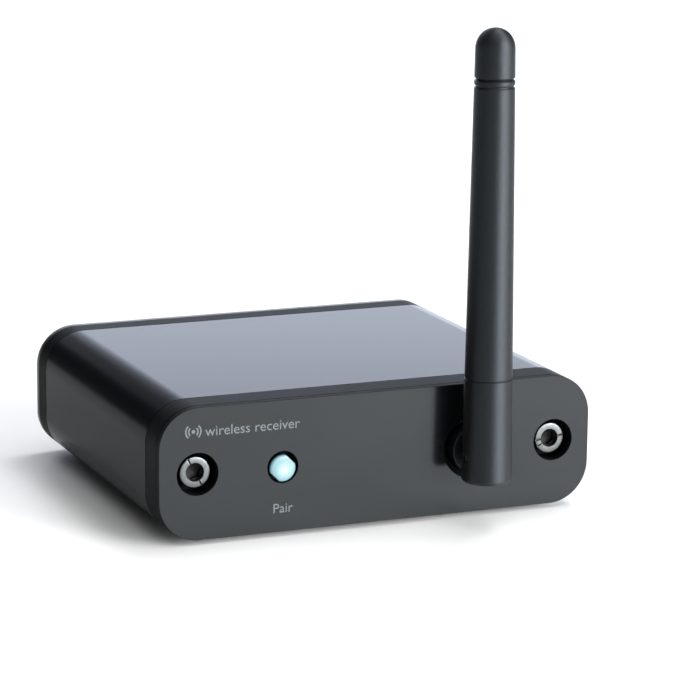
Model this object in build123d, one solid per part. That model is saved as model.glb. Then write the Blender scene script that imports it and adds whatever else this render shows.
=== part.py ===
from build123d import *
import math
import os

# Wireless audio receiver: a flat rounded box with a folding rod antenna on its front.
# Frame: +Z up, front towards -Y, +X to the right as seen from the front.
# Origin: centre of the whole object's footprint box, on the plane the feet stand on.
# All sizes in millimetres.

# ---------------------------------------------------------------- driving dimensions
W = 88.9            # case width
H = 25.6            # case height, without feet
D = 76.0            # case depth, fascia face to rear plate face
R_CASE = 8.0        # case corner radius, front view
FOOT_H = 1.0        # rubber foot thickness
Y_F = -37.0         # plane of the fascia's face
Y_R = Y_F + D       # plane of the rear plate's face
Z0 = FOOT_H         # case underside
Z1 = Z0 + H         # case top
ZC = Z0 + H / 2     # mid-height, where all front controls sit

FASCIA_T = 1.5      # front and rear plate thickness
TAPE_T = 0.15       # adhesive foil behind each plate
FRONT_BAND = 7.6    # fascia + bezel depth at the front
REAR_BAND = 6.3     # plate + bezel depth at the rear
WALL = 2.0          # sleeve wall
WEB_T = 2.0         # bezel web thickness

SCREW_X = 36.8      # end screws, either side of the centre
SCREW_HOLE_R = 4.1  # recess around each screw head
HEAD_R = 3.1        # cap screw head
HEAD_H = 3.2
SHANK_R = 1.48
SOCKET_AF = 2.8     # hex socket across flats
SOCKET_DEPTH = 2.0
FRONT_HEAD_DEPTH = 1.5   # fascia face to screw head face
REAR_HEAD_DEPTH = 1.4

BUTTON_X = -19.75   # pairing button
BUTTON_HOLE_R = 3.1
BUTTON_R = 2.6
BUTTON_Z = ZC - 0.19
CAP_Z = BUTTON_Z - 0.25     # the cap sits low in its hole
CAP_FLAT = 2.26             # centre to each flat
BUTTON_PROUD = 0.25
BUTTON_TRAVEL = 0.35

ANT_X = 19.53        # antenna connector axis
ANT_HOLE_R = 6.0
MAST_OFF = 6.6      # fascia face to mast axis
GRIP_R = 4.7        # round barrel at the antenna's foot
GRIP_PROUD = 1.5    # how far the barrel stands out of the fascia
HINGE_Y = Y_F - MAST_OFF
MAST_BOTTOM = Z0 + 7.85
MAST_SEAM = Z0 + 28.2
MAST_TOP = Z0 + 94.85
MAST_SLOPE = 0.0131     # radius lost per mm of height
R_SEAM = 4.59            # mast radius at the seam
EAR_R = 4.7              # rounding of the fork about the hinge pin
TONGUE_T = 4.4           # tongue thickness between the fork's ears
TONGUE_R = 3.6
SLOT_W = 4.7
SLOT_R = 3.8
PIN_R = 1.0

PCB_T = 1.6
PCB_Z = 5.2              # underside of the main board
PCB_TOP = PCB_Z + PCB_T


def mast_r(z):
    return R_SEAM + (MAST_SEAM - z) * MAST_SLOPE


EDGE_R = 0.8             # rounding of the mast's lower rim
P_F = MAST_OFF + mast_r(MAST_BOTTOM + EDGE_R)   # how far the antenna stands out in front
P_R = P_F - (Y_R + Y_F)                         # connectors at the back end at the same distance from Y = 0

os.makedirs("parts", exist_ok=True)
PARTS = {}


# ---------------------------------------------------------------- helpers
def box(x0, x1, y0, y1, z0, z1):
    return Pos((x0 + x1) / 2, (y0 + y1) / 2, (z0 + z1) / 2) * Box(x1 - x0, y1 - y0, z1 - z0)


def cyl_y(r, y0, y1, x=0.0, z=ZC):
    return Pos(x, (y0 + y1) / 2, z) * Rot(90, 0, 0) * Cylinder(r, y1 - y0)


def cyl_x(r, x0, x1, y=0.0, z=ZC):
    return Pos((x0 + x1) / 2, y, z) * Rot(0, 90, 0) * Cylinder(r, x1 - x0)


def cyl_z(r, z0, z1, x=0.0, y=0.0):
    return Pos(x, y, (z0 + z1) / 2) * Cylinder(r, z1 - z0)


def tube_y(ro, ri, y0, y1, x=0.0, z=ZC):
    return cyl_y(ro, y0, y1, x, z) - cyl_y(ri, y0 - 1, y1 + 1, x, z)


def slab(w, h, r, y0, y1, z=ZC):
    """Rounded-rectangle prism along Y."""
    return Pos(0, y1, z) * Rot(90, 0, 0) * extrude(RectangleRounded(w, h, r), y1 - y0)


def lathe_z(points, x, y):
    """Solid of revolution about a vertical axis through (x, y); points are (radius, z)."""
    profile = make_face(Polyline(*[(r, 0, z) for r, z in points], close=True))
    return Pos(x, y, 0) * revolve(profile, Axis.Z)


def lathe_y(points, x, z=ZC):
    """Solid of revolution about an axis along Y through (x, z); points are (radius, y)."""
    profile = make_face(Polyline(*[(r, y, 0) for r, y in points], close=True))
    return Pos(x, 0, z) * revolve(profile, Axis.Y)


def hex_y(af, y0, y1, x=0.0, z=ZC):
    return Pos(x, y1, z) * Rot(90, 0, 0) * extrude(
        RegularPolygon(af / 2 / math.cos(math.pi / 6), 6), y1 - y0
    )


def keep(name, *shapes):
    solids = []
    for s in shapes:
        solids += list(s.solids())
    PARTS[name] = solids
    shape = solids[0] if len(solids) == 1 else Compound(children=solids)
    export_step(shape, f"parts/{name}.step")


# ---------------------------------------------------------------- sleeve
Y_S0 = Y_F + FRONT_BAND       # sleeve's front end
Y_S1 = Y_R - REAR_BAND        # sleeve's rear end
outer = slab(W, H, R_CASE, Y_S0, Y_S1)
sleeve = outer - slab(W - 2 * WALL, H - 2 * WALL, R_CASE - WALL, Y_S0 - 1, Y_S1 + 1)
for s in (-1, 1):
    # channel that the end screws cut their thread in, open on its inner side
    channel = cyl_y(3.0, Y_S0, Y_S1, s * SCREW_X)
    a, b = sorted((s * SCREW_X, s * (W / 2 - 1.0)))
    channel += box(a, b, Y_S0, Y_S1, ZC - 1.6, ZC + 1.6)
    channel -= cyl_y(1.5, Y_S0 - 1, Y_S1 + 1, s * SCREW_X)
    a, b = sorted((s * SCREW_X, s * (SCREW_X - 5)))
    channel -= box(a, b, Y_S0 - 1, Y_S1 + 1, ZC - 0.6, ZC + 0.6)
    sleeve += channel
    # two rails that hold the board's edge
    a, b = sorted((s * 38.7, s * 44.0))
    rails = box(a, b, Y_S0, Y_S1, PCB_Z - 1.0, PCB_Z - 0.1) + box(
        a, b, Y_S0, Y_S1, PCB_TOP + 0.1, PCB_TOP + 1.0
    )
    sleeve += rails & outer
for end in (Y_S0, Y_S1):
    rim = [
        e
        for e in sleeve.edges().filter_by_position(Axis.Y, end - 0.01, end + 0.01)
        if abs(e.center().X) > W / 2 - R_CASE - 0.5
        and max(abs(e.center().X) - (W / 2 - R_CASE), 0) ** 2
        + max(abs(e.center().Z - ZC) - (H / 2 - R_CASE), 0) ** 2
        > (R_CASE - 1.2) ** 2
        or abs(abs(e.center().Z - ZC) - H / 2) < 0.01
        or abs(abs(e.center().X) - W / 2) < 0.01
    ]
    sleeve = chamfer(rim, 0.12)
keep("sleeve", sleeve)

# ---------------------------------------------------------------- front fascia, foil, bezel
fascia = slab(W, H, R_CASE, Y_F, Y_F + FASCIA_T)
for s in (-1, 1):
    fascia -= cyl_y(SCREW_HOLE_R, Y_F - 1, Y_F + 4, s * SCREW_X)
fascia -= cyl_y(BUTTON_HOLE_R, Y_F - 1, Y_F + 4, BUTTON_X, BUTTON_Z)
fascia -= cyl_y(ANT_HOLE_R, Y_F - 1, Y_F + 4, ANT_X)
rim = [
    e
    for e in fascia.edges().filter_by_position(Axis.Y, Y_F - 0.01, Y_F + 0.01)
    if e.geom_type == GeomType.LINE or e.radius > 7
]
fascia = chamfer(rim, 0.22)
holes = [
    e
    for e in fascia.edges().filter_by_position(Axis.Y, Y_F - 0.01, Y_F + 0.01)
    if e.geom_type == GeomType.CIRCLE and e.radius < 7
]
fascia = chamfer(holes, 0.12)
keep("front_fascia", fascia)

Y_B0 = Y_F + FASCIA_T + TAPE_T    # bezel's front
foil = slab(W - 3, H - 3, R_CASE - 1.5, Y_F + FASCIA_T, Y_B0)
for s in (-1, 1):
    foil -= cyl_y(5.0, Y_F, Y_F + 4, s * SCREW_X)
foil -= cyl_y(4.2, Y_F, Y_F + 4, BUTTON_X, BUTTON_Z)
foil -= cyl_y(7.2, Y_F, Y_F + 4, ANT_X)
keep("fascia_foil", foil)

bezel = slab(W, H, R_CASE, Y_B0, Y_S0)
bezel -= slab(W - 5.0, H - 5.0, R_CASE - 2.5, Y_B0 + WEB_T, Y_S0 + 1)
Y_SEAT = Y_F + FRONT_HEAD_DEPTH + HEAD_H
for s in (-1, 1):
    boss = cyl_y(5.9, Y_B0, Y_S0, s * SCREW_X) & slab(W - 2, H - 2, R_CASE - 1, Y_B0, Y_S0)
    bezel += boss
    bezel -= cyl_y(SCREW_HOLE_R + 0.05, Y_B0 - 1, Y_SEAT, s * SCREW_X)
    bezel -= cyl_y(1.65, Y_B0 - 1, Y_S0 + 1, s * SCREW_X)
bezel -= cyl_y(BUTTON_HOLE_R + 0.05, Y_B0 - 1, Y_B0 + 4, BUTTON_X, BUTTON_Z)
bezel -= cyl_y(GRIP_R + 0.2, Y_B0 - 1, Y_B0 + 4, ANT_X)
for x0, x1 in ((-31, -9), (9, 31)):
    # tabs that locate the bezel inside the sleeve, above and below the board
    bezel += box(x0, x1, Y_S0 - 2.5, Y_S0 + 2.5, Z1 - WALL - 1.5, Z1 - WALL - 0.1)
    bezel += box(x0, x1, Y_S0 - 2.5, Y_S0 + 2.5, Z0 + WALL + 0.1, Z0 + WALL + 1.4)
rim = [
    e
    for e in bezel.edges().filter_by_position(Axis.Y, Y_S0 - 0.01, Y_S0 + 0.01)
    if abs(abs(e.center().Z - ZC) - H / 2) < 0.01
    or abs(abs(e.center().X) - W / 2) < 0.01
    or (e.geom_type == GeomType.CIRCLE and abs(e.radius - R_CASE) < 0.01)
]
bezel = chamfer(rim, 0.12)
keep("front_bezel", bezel)


def cap_screw(x, face_y, toward, length):
    """Socket head cap screw along Y. face_y is the head's face; toward is +1 if the shank points to +Y."""
    t = toward
    pts = [
        (0, 0), (HEAD_R - 0.3, 0), (HEAD_R, 0.3), (HEAD_R, HEAD_H), (SHANK_R, HEAD_H),
        (SHANK_R, HEAD_H + length - 0.6), (SHANK_R - 0.55, HEAD_H + length), (0, HEAD_H + length),
    ]
    body = lathe_y([(r, face_y + t * y) for r, y in pts], x)
    a, b = sorted((face_y - t * 1.0, face_y + t * SOCKET_DEPTH))
    body -= hex_y(SOCKET_AF, a, b, x)
    # countersunk mouth of the socket
    body -= lathe_y(
        [(0, face_y - t * 0.01), (1.78, face_y - t * 0.01), (1.40, face_y + t * 0.38), (0, face_y + t * 0.38)], x
    )
    return body


keep(
    "front_screws",
    *[cap_screw(s * SCREW_X, Y_F + FRONT_HEAD_DEPTH, 1, 11.0) for s in (-1, 1)],
)

# ---------------------------------------------------------------- rear plate, foil, bezel
Y_Q1 = Y_R - FASCIA_T - TAPE_T     # rear bezel's outer end
RCA_X = {"left": 10.0, "right": 24.0}
OPT_X, OPT_Z0, OPT_Z1 = -6.5, PCB_TOP, PCB_TOP + 12.0
USB_X, USB_ZC = -23.0, PCB_TOP + 1.4

rear = slab(W, H, R_CASE, Y_R - FASCIA_T, Y_R)
for s in (-1, 1):
    rear -= cyl_y(SCREW_HOLE_R, Y_R - 4, Y_R + 1, s * SCREW_X)
for x in RCA_X.values():
    rear -= cyl_y(5.25, Y_R - 4, Y_R + 1, x)
rear -= box(OPT_X - 5.05, OPT_X + 5.05, Y_R - 4, Y_R + 1, OPT_Z0 - 0.15, OPT_Z1 + 0.15)
rear -= Pos(USB_X, Y_R + 1, USB_ZC) * Rot(90, 0, 0) * extrude(RectangleRounded(8.6, 3.8, 1.0), 6)
rim = [
    e
    for e in rear.edges().filter_by_position(Axis.Y, Y_R - 0.01, Y_R + 0.01)
    if abs(abs(e.center().Z - ZC) - H / 2) < 0.01
    or abs(abs(e.center().X) - W / 2) < 0.01
    or (e.geom_type == GeomType.CIRCLE and abs(e.radius - R_CASE) < 0.01)
]
rear = chamfer(rim, 0.22)
keep("rear_plate", rear)

foil = slab(W - 3, H - 3, R_CASE - 1.5, Y_Q1, Y_R - FASCIA_T)
for s in (-1, 1):
    foil -= cyl_y(5.0, Y_R - 4, Y_R + 1, s * SCREW_X)
foil -= box(2.4, 31.4, Y_R - 4, Y_R + 1, 5.0, 21.5)
foil -= box(OPT_X - 5.6, OPT_X + 5.6, Y_R - 4, Y_R + 1, 5.0, OPT_Z1 + 0.7)
foil -= box(USB_X - 6, USB_X + 6, Y_R - 4, Y_R + 1, 4.6, 11.2)
keep("rear_foil", foil)

rbezel = slab(W, H, R_CASE, Y_S1, Y_Q1)
rbezel -= slab(W - 5.0, H - 5.0, R_CASE - 2.5, Y_S1 - 1, Y_Q1 - WEB_T)
Y_RSEAT = Y_R - REAR_HEAD_DEPTH - HEAD_H
for s in (-1, 1):
    boss = cyl_y(5.9, Y_S1, Y_Q1, s * SCREW_X) & slab(W - 2, H - 2, R_CASE - 1, Y_S1, Y_Q1)
    rbezel += boss
    rbezel -= cyl_y(SCREW_HOLE_R + 0.05, Y_RSEAT, Y_Q1 + 1, s * SCREW_X)
    rbezel -= cyl_y(1.65, Y_S1 - 1, Y_Q1 + 1, s * SCREW_X)
rbezel -= box(2.8, 31.2, Y_Q1 - 5, Y_Q1 + 1, 4.9, 21.2)
rbezel -= box(OPT_X - 5.15, OPT_X + 5.15, Y_Q1 - 5, Y_Q1 + 1, 4.9, OPT_Z1 + 0.25)
rbezel -= box(USB_X - 5.4, USB_X + 5.4, Y_Q1 - 5, Y_Q1 + 1, 4.9, 10.6)
for x0, x1 in ((-31, -9), (9, 31)):
    rbezel += box(x0, x1, Y_S1 - 2.5, Y_S1 + 2.5, Z1 - WALL - 1.5, Z1 - WALL - 0.1)
    rbezel += box(x0, x1, Y_S1 - 2.5, Y_S1 + 2.0, Z0 + WALL + 0.1, Z0 + WALL + 1.4)
rim = [
    e
    for e in rbezel.edges().filter_by_position(Axis.Y, Y_S1 - 0.01, Y_S1 + 0.01)
    if abs(abs(e.center().Z - ZC) - H / 2) < 0.01
    or abs(abs(e.center().X) - W / 2) < 0.01
    or (e.geom_type == GeomType.CIRCLE and abs(e.radius - R_CASE) < 0.01)
]
rbezel = chamfer(rim, 0.12)
keep("rear_bezel", rbezel)

keep(
    "rear_screws",
    *[cap_screw(s * SCREW_X, Y_R - REAR_HEAD_DEPTH, -1, 11.0) for s in (-1, 1)],
)

# ---------------------------------------------------------------- feet
feet = []
for x in (-29.0, 29.0):
    for y in (-21.0, 24.5):
        f = lathe_z([(0, 0), (3.7, 0), (4.0, 0.3), (4.0, 1.0), (0, 1.0)], x, y)
        feet.append(f)
keep("rubber_feet", *feet)

# ---------------------------------------------------------------- boards
board = box(-40.6, 40.6, Y_S0 + 0.5, Y_S1 - 0.5, PCB_Z, PCB_TOP)
board += box(USB_X - 5.0, USB_X + 5.0, Y_S1 - 2, Y_Q1 - 0.2, PCB_Z, PCB_TOP)
for x in RCA_X.values():
    for dx, y in ((-3.6, 27.0), (3.6, 27.0)):
        board -= cyl_z(0.6, PCB_Z - 1, PCB_TOP + 1, x + dx, y)
for x, y in ((-37.0, 5.0), (37.0, 5.0)):
    board -= cyl_z(1.6, PCB_Z - 1, PCB_TOP + 1, x, y)
keep("main_board", board)

SWB_Y0, SWB_Y1 = Y_S0 + 2.2, Y_S0 + 3.4
swb = box(BUTTON_X - 7.2, BUTTON_X + 7.2, SWB_Y0, SWB_Y1, PCB_TOP + 0.1, ZC + 6.8)
keep("switch_board", swb)
keep("board_link_header", box(BUTTON_X - 3.9, BUTTON_X + 3.9, SWB_Y1 + 0.02, SWB_Y1 + 2.6, PCB_TOP + 0.02, PCB_TOP + 2.6))

# tactile switch behind the pairing button
TACT_Y0 = SWB_Y0 - 3.1
tact = box(BUTTON_X - 3.0, BUTTON_X + 3.0, TACT_Y0, SWB_Y0 - 0.02, BUTTON_Z - 3.0, BUTTON_Z + 3.0)
tact -= cyl_y(1.8, TACT_Y0 - 1, TACT_Y0 + 1.6, BUTTON_X, BUTTON_Z)
keep("tact_switch", tact)
PLUNGER_Y0 = TACT_Y0 - 0.75
keep("switch_plunger", cyl_y(1.7, PLUNGER_Y0, TACT_Y0 + 1.0, BUTTON_X, BUTTON_Z))

# light-diffusing button, held in by its flange
BY = Y_F - BUTTON_PROUD
profile = make_face(
    Polyline(
        (0, BY, 0), (1.6, BY + 0.03, 0), (2.25, BY + 0.09, 0), (2.5, BY + 0.2, 0), (BUTTON_R, BY + 0.42, 0),
        (BUTTON_R, Y_B0 + WEB_T + 0.15, 0), (4.2, Y_B0 + WEB_T + 0.15, 0), (4.2, Y_B0 + WEB_T + 1.05, 0),
        (1.9, Y_B0 + WEB_T + 1.05, 0), (1.9, PLUNGER_Y0 - 0.02, 0), (0, PLUNGER_Y0 - 0.02, 0),
        close=True,
    )
)
cap = Pos(BUTTON_X, 0, CAP_Z) * revolve(profile, Axis.Y)
for t in (45, 225):      # two flats that key the cap's head
    cap -= Pos(BUTTON_X, (BY - 1 + Y_B0 + WEB_T) / 2, CAP_Z) * Rot(0, t, 0) * Pos(CAP_FLAT + 1, 0, 0) * Box(2, Y_B0 + WEB_T - BY + 1, 8)
keep("pair_button", cap)
keep(
    "status_leds",
    *[box(BUTTON_X - 0.8, BUTTON_X + 0.8, SWB_Y0 - 0.7, SWB_Y0 - 0.02, ZC + dz - 0.5, ZC + dz + 0.5) for dz in (-4.3, 4.3)],
)

# ---------------------------------------------------------------- parts on the main board
T = PCB_TOP + 0.02
keep("radio_module", box(9.0, 23.0, -17.0, 3.0, T, T + 0.8))
shield = box(10.0, 22.0, -11.5, 2.2, T + 0.82, T + 3.1) - box(10.25, 21.75, -11.25, 1.95, T, T + 2.85)
keep("module_shield", shield)
chips = [
    box(-6.0, 0.0, 3.0, 9.0, T, T + 1.0),
    box(-18.0, -13.0, 12.0, 16.0, T, T + 1.5),
    box(-2.5, 2.5, 15.0, 19.0, T, T + 1.5),
    box(-31.0, -27.5, 17.0, 20.0, T, T + 1.6),
    box(-9.0, -3.0, -14.0, -9.0, T, T + 1.0),
]
keep("board_chips", *chips)
caps = []
for x, y, r, h in (
    (-29.8, -14.0, 3.15, 7.0), (-29.8, -5.0, 3.15, 7.0), (-25.0, 6.0, 2.5, 6.5),
    (-25.0, 12.5, 2.5, 6.5), (9.0, 10.0, 2.5, 6.5), (15.5, 10.0, 2.5, 6.5),
    (22.0, 10.0, 2.5, 6.5), (28.5, 10.0, 2.5, 6.5),
):
    caps.append(
        lathe_z([(0, T), (r, T), (r, T + 0.9), (r - 0.22, T + 1.15), (r, T + 1.4), (r, T + h - 0.35), (r - 0.35, T + h), (0, T + h)], x, y)
    )
keep("capacitors", *caps)
keep(
    "power_inductors",
    *[fillet(box(x - 3, x + 3, y - 3, y + 3, T, T + 3.0).edges().filter_by(Axis.Z), 1.0) for x, y in ((-17.0, -6.0), (-17.0, 3.0))],
)
xtal = fillet(box(-7.0, 3.4, -5.0, -0.6, T, T + 3.3).edges().filter_by(Axis.Z), 2.0)
keep("crystal_oscillator", xtal)
keep("ferrite_beads", *[box(x, x + 2.0, 26.0, 27.2, T, T + 1.2) for x in (-30.0, -27.0, -19.0, -16.0)])

# ---------------------------------------------------------------- audio output jacks
hb_x0, hb_x1 = 3.2, 30.8
housing = box(hb_x0, hb_x1, 24.0, Y_Q1 + TAPE_T - 0.08, T, 20.8)
housing = fillet(housing.edges().filter_by(Axis.Y), 0.6)
for x in RCA_X.values():
    housing -= cyl_y(3.75, 27.4, Y_R, x)
keep("jack_housing", housing)
SHELL_END = Y_R + P_R
for side, x in RCA_X.items():
    # thinner inside the housing, full size where the plug's ring slides over it
    shell = lathe_y(
        [(3.32, 27.5), (3.7, 27.5), (3.7, Y_R + 0.6), (4.15, Y_R + 0.6), (4.15, SHELL_END - 0.3), (3.95, SHELL_END), (3.32, SHELL_END)], x
    )
    keep(f"jack_shell_{side}", shell)
    ins = lathe_y(
        [(2.35, 27.5), (3.3, 27.5), (3.3, SHELL_END - 0.4), (2.15, SHELL_END - 0.4), (1.75, SHELL_END - 0.8),
         (1.75, 33.0), (2.35, 33.0)], x
    )
    keep(f"jack_insulator_{side}", ins)
    collar = lathe_y([(3.75, Y_R - FASCIA_T + 0.02), (5.1, Y_R - FASCIA_T + 0.02), (5.1, Y_R + 0.35), (4.9, Y_R + 0.55), (3.75, Y_R + 0.55)], x)
    keep(f"jack_collar_{side}", collar)
keep("jack_contacts", *[tube_y(2.3, 2.0, 28.0, 32.9, x) for x in RCA_X.values()])

# ---------------------------------------------------------------- optical output
OY1 = Y_R - 0.1
oz0, oz1 = OPT_Z0 + 0.02, OPT_Z1
cz0, cz1 = oz0 + 1.6, oz1 - 1.3         # cavity floor and ceiling
CAV_D = 11.2
LIP_T = 2.25      # frame in front of the shutter
opt = box(OPT_X - 4.95, OPT_X + 4.95, 25.5, OY1, oz0, oz1)
opt -= box(OPT_X - 4.3, OPT_X + 4.3, OY1 - CAV_D, OY1 - LIP_T, cz0, cz1)
opt -= box(OPT_X - 3.9, OPT_X + 3.9, OY1 - LIP_T - 0.4, OY1 + 1, cz0 + 0.4, cz1 - 0.25)
opt -= cyl_y(2.6, 26.6, OY1 - CAV_D + 1, OPT_X, (cz0 + cz1) / 2)
SH_Z, SH_Y = cz1 - 0.75, OY1 - LIP_T - 0.5     # shutter hinge line
opt -= cyl_x(0.5, OPT_X - 4.7, OPT_X + 4.7, SH_Y, SH_Z)
keep("optical_housing", opt)
shutter = box(OPT_X - 4.15, OPT_X + 4.15, SH_Y - 0.4, SH_Y + 0.4, cz0 + 0.3, SH_Z)
shutter += cyl_x(0.4, OPT_X - 4.15, OPT_X + 4.15, SH_Y, SH_Z)
shutter += cyl_x(0.4, OPT_X - 4.6, OPT_X + 4.6, SH_Y, SH_Z)
keep("optical_shutter", shutter)
keep("optical_emitter", lathe_y([(0, 26.62), (2.58, 26.62), (2.58, 27.2), (2.0, 27.7), (1.0, 28.1), (0, 28.2)], OPT_X, (cz0 + cz1) / 2))

# ---------------------------------------------------------------- power socket
UY1 = Y_R - 0.25
uz0, uz1 = T, T + 2.8
usb = Pos(USB_X, UY1, (uz0 + uz1) / 2) * Rot(90, 0, 0) * extrude(RectangleRounded(7.6, 2.8, 0.6), UY1 - 33.3)
usb -= Pos(USB_X, UY1 + 1, (uz0 + uz1) / 2) * Rot(90, 0, 0) * extrude(RectangleRounded(7.0, 2.2, 0.4), UY1 + 1 - 33.9)
keep("power_socket_shell", usb)
keep("power_socket_tongue", box(USB_X - 2.6, USB_X + 2.6, 33.92, UY1 - 0.7, uz0 + 1.35, uz0 + 1.95))

# ---------------------------------------------------------------- antenna connector, on the board
RF_BACK = Y_S0 + 8.0
rf = box(ANT_X - 4, ANT_X + 4, Y_S0 + 1.2, RF_BACK, T, ZC + 3.6)
rf = fillet(rf.edges().filter_by(Axis.Y), 0.5)
RF_END = Y_F + 1.5
rf += cyl_y(3.15, RF_END, Y_S0 + 2.0, ANT_X)
rf -= cyl_y(2.1, RF_END - 1, RF_BACK - 2, ANT_X)
keep("antenna_connector", rf)
diel = tube_y(2.08, 0.5, RF_END + 2.2, RF_BACK - 2.02, ANT_X)
keep("connector_dielectric", diel)
keep("connector_pin", cyl_y(0.47, RF_END + 0.6, RF_BACK - 2.02, ANT_X))

# antenna foot: metal nut inside a plastic grip, screwed tight on the connector
GRIP_END = Y_F - GRIP_PROUD
nut = tube_y(4.0, 3.2, RF_END + 0.05, Y_S0 - 0.3, ANT_X)
keep("antenna_nut", nut)
grip = lathe_y(
    [(3.0, GRIP_END), (GRIP_R - 0.25, GRIP_END), (GRIP_R, GRIP_END + 0.25), (GRIP_R, Y_S0 - 0.5), (GRIP_R - 0.3, Y_S0 - 0.2),
     (4.02, Y_S0 - 0.2), (4.02, GRIP_END + 1.3), (3.0, GRIP_END + 1.3)], ANT_X
)
keep("antenna_grip", grip)

# elbow that turns in the grip and carries the hinge tongue
elbow = cyl_y(2.9, GRIP_END - 0.1, RF_END - 0.2, ANT_X)
elbow += cyl_y(3.8, GRIP_END + 1.42, RF_END - 0.2, ANT_X)
elbow += box(ANT_X - TONGUE_T / 2, ANT_X + TONGUE_T / 2, HINGE_Y, GRIP_END - 0.1, ZC - 3.0, ZC + 3.0)
elbow += cyl_x(TONGUE_R, ANT_X - TONGUE_T / 2, ANT_X + TONGUE_T / 2, HINGE_Y, ZC)
elbow -= cyl_x(PIN_R + 0.005, ANT_X - 5, ANT_X + 5, HINGE_Y, ZC)
keep("antenna_elbow", elbow)
PIN_HALF = 4.2
pin = cyl_x(PIN_R, ANT_X - PIN_HALF, ANT_X + PIN_HALF, HINGE_Y, ZC)
pin = chamfer(pin.edges().filter_by(GeomType.CIRCLE), 0.2)
keep("hinge_pin", pin)

# ---------------------------------------------------------------- antenna mast
rb = mast_r(MAST_BOTTOM)
er = EDGE_R
arc = [
    (mast_r(MAST_BOTTOM + er) - er + er * math.sin(math.radians(a)), MAST_BOTTOM + er - er * math.cos(math.radians(a)))
    for a in (0, 22.5, 45, 67.5, 90)
]
knuckle = lathe_z(
    [(0, MAST_BOTTOM)] + arc + [(R_SEAM, MAST_SEAM - 0.18), (R_SEAM - 0.18, MAST_SEAM), (3.35, MAST_SEAM),
     (3.35, MAST_SEAM - 7.0), (0, MAST_SEAM - 7.0)],
    ANT_X, HINGE_Y,
)
knuckle -= cyl_z(1.0, MAST_BOTTOM, MAST_SEAM - 6, ANT_X, HINGE_Y)
sx0, sx1 = ANT_X - SLOT_W / 2, ANT_X + SLOT_W / 2
slot = cyl_x(SLOT_R, sx0, sx1, HINGE_Y, ZC)
slot += box(sx0, sx1, HINGE_Y, HINGE_Y + 8, ZC - 8, ZC + 3.3)
slot += box(sx0, sx1, HINGE_Y - SLOT_R, HINGE_Y + 8, ZC - 8, ZC)
knuckle -= slot
knuckle -= cyl_x(PIN_R + 0.045, ANT_X - 6, ANT_X + 6, HINGE_Y, ZC)
# the ears' rear lower corner is rounded about the pin so that they clear the grip
corner = box(ANT_X - 6, ANT_X + 6, HINGE_Y, HINGE_Y + 8, ZC - 8, ZC) - cyl_x(EAR_R, ANT_X - 7, ANT_X + 7, HINGE_Y, ZC)
knuckle -= corner
keep("antenna_knuckle", knuckle)

GA, GB = Z0 + 83.95, Z0 + 85.3      # two grooves near the tip; the upper one is the tip's joint
gw, gd = 0.36, 0.38


def groove(z):
    return [(mast_r(z - gw), z - gw), (mast_r(z) - gd, z), (mast_r(z + gw), z + gw)]


SP_BOT = MAST_SEAM - 6.9
sheath = lathe_z(
    [(2.65, SP_BOT), (3.3, SP_BOT), (3.3, MAST_SEAM + 0.02), (R_SEAM - 0.18, MAST_SEAM + 0.02), (mast_r(MAST_SEAM + 0.2), MAST_SEAM + 0.2)]
    + groove(GA)
    + [(mast_r(GB - gw), GB - gw), (mast_r(GB) - gd, GB), (2.65, GB)],
    ANT_X, HINGE_Y,
)
keep("antenna_sheath", sheath)
DOME_Z = MAST_TOP - 3.95
rd = mast_r(DOME_Z)
dome = [
    (rd * math.cos(math.radians(a)) ** 0.92, DOME_Z + (MAST_TOP - DOME_Z) * math.sin(math.radians(a)))
    for a in (12, 24, 36, 48, 58, 67, 75, 82)
]
tip = lathe_z(
    [(0, GB - 6.0), (2.62, GB - 6.0), (2.62, GB + 0.01), (mast_r(GB) - gd, GB + 0.01), (mast_r(GB + gw), GB + gw), (rd, DOME_Z)]
    + dome
    + [(0, MAST_TOP)],
    ANT_X, HINGE_Y,
)
keep("antenna_tip", tip)

# radiator inside the mast
COAX_TOP = Z0 + 60.0
keep("antenna_coax", cyl_z(0.95, ZC + 4.4, COAX_TOP, ANT_X, HINGE_Y))
sleeve_tube = lathe_z(
    [(1.9, Z0 + 35.0), (2.3, Z0 + 35.0), (2.3, COAX_TOP - 0.2), (0.97, COAX_TOP - 0.2), (0.97, COAX_TOP - 0.8), (1.9, COAX_TOP - 0.8)],
    ANT_X, HINGE_Y,
)
keep("radiator_sleeve", sleeve_tube)
keep("radiator_whip", cyl_z(0.4, COAX_TOP, COAX_TOP + 18.8, ANT_X, HINGE_Y))

print("front reach", round(P_F, 4), "rear reach", round(P_R, 4), "nodes", len(PARTS))
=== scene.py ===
import math

import bmesh
import bpy
from mathutils import Matrix, Vector


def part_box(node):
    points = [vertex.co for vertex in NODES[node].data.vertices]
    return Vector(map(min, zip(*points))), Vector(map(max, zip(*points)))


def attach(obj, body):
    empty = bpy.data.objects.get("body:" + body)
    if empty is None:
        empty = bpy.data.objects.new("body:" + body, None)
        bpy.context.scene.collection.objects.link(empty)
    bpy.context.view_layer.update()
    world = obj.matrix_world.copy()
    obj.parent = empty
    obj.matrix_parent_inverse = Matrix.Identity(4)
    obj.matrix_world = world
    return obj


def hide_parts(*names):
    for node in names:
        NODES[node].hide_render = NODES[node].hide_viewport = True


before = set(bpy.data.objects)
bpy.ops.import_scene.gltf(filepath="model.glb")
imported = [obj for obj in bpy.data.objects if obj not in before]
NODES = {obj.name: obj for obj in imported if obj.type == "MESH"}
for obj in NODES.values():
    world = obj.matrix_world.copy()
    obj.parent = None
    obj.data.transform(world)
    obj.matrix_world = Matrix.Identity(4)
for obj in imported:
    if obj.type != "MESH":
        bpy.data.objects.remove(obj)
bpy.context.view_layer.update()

MM = 0.001


def nbox(n):
    """A CAD node's box in millimetres."""
    a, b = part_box(n)
    return [v / MM for v in a], [v / MM for v in b]


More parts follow.
